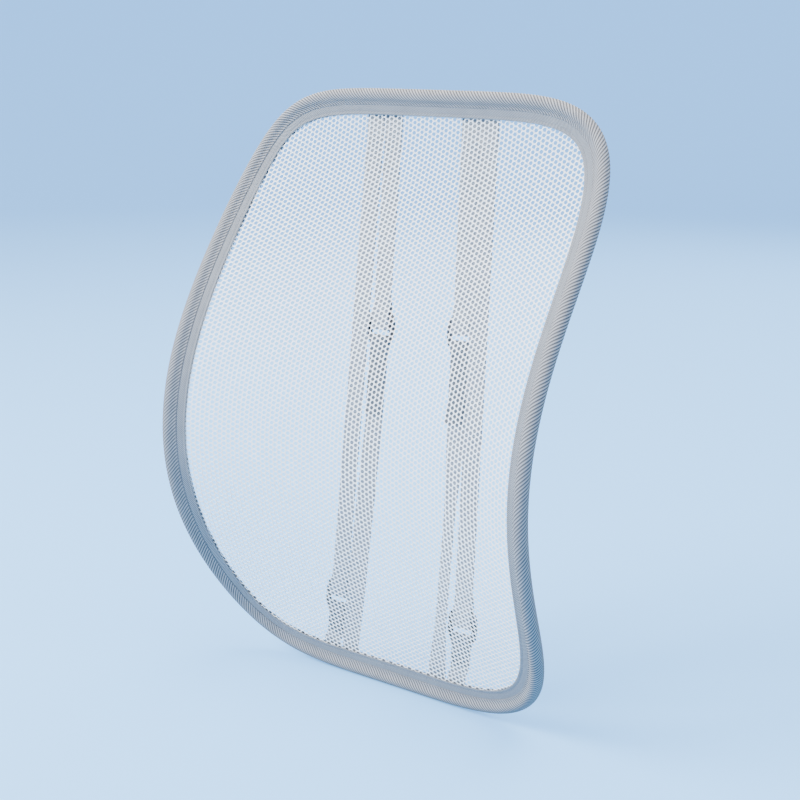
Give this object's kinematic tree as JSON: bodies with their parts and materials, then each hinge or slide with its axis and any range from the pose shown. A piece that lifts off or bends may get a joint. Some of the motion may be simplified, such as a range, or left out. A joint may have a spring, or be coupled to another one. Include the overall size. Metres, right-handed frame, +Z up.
{
  "type": "mesh lumbar back support",
  "caption": "Saddle-shaped mesh panel stretched in a fabric-cased wire loop, with adjustable straps behind it that hold it on a chair's backrest.",
  "frame": {"origin": "on the lower rail's lowest level, below the middle of the support's box", "axes": "+Z up the support, +X to the right seen from the front, -Y to the sitter's side"},
  "size_m": [0.315, 0.1157, 0.4091],
  "materials": {
    "frame_wire": "drawn spring steel, hidden in the casing",
    "wire_sleeve": "satin, crimped",
    "rim_casing": "twill-woven binding, light grey yarn over dark grey",
    "hem_tape": "close-woven flat tape, blue-grey",
    "mesh_panel": "open knitted net with round holes, near-white satin yarn",
    "webbing": "ribbed flat webbing, light blue-grey",
    "slider_plastic": "moulded, satin black"
  },
  "bodies": {
    "frame": {"frame_wire": "frame_wire", "wire_sleeve": "wire_sleeve", "rim_casing": "rim_casing", "hem_tape_front": "hem_tape", "hem_tape_back": "hem_tape", "mesh_panel": "mesh_panel", "upper_web_left_inner": "webbing", "lower_web_left_inner": "webbing", "upper_web_left_outer": "webbing", "lower_web_left_outer": "webbing", "upper_web_right_inner": "webbing", "lower_web_right_inner": "webbing", "upper_web_right_outer": "webbing", "lower_web_right_outer": "webbing"},
    "slider_left_inner": {"tri_glide_left_inner": "slider_plastic"},
    "slider_left_outer": {"tri_glide_left_outer": "slider_plastic"},
    "slider_right_inner": {"tri_glide_right_inner": "slider_plastic"},
    "slider_right_outer": {"tri_glide_right_outer": "slider_plastic"}
  },
  "joints": [
    {"name": "left_inner_slide", "type": "slide", "parent": "frame", "child": "slider_left_inner", "axis": [0.007, 0.1212, 0.9926], "range_m": [0, 0.045], "deforming": ["upper_web_left_inner", "lower_web_left_inner"]},
    {"name": "left_outer_slide", "type": "slide", "parent": "frame", "child": "slider_left_outer", "axis": [0.0108, 0.1221, 0.9925], "range_m": [0, 0.015], "deforming": ["upper_web_left_outer", "lower_web_left_outer"]},
    {"name": "right_inner_slide", "type": "slide", "parent": "frame", "child": "slider_right_inner", "axis": [-0.0285, 0.1216, 0.9922], "range_m": [0, 0.045], "deforming": ["upper_web_right_inner", "lower_web_right_inner"]},
    {"name": "right_outer_slide", "type": "slide", "parent": "frame", "child": "slider_right_outer", "axis": [-0.0324, 0.1227, 0.9919], "range_m": [0, 0.015], "deforming": ["upper_web_right_outer", "lower_web_right_outer"]}
  ]
}
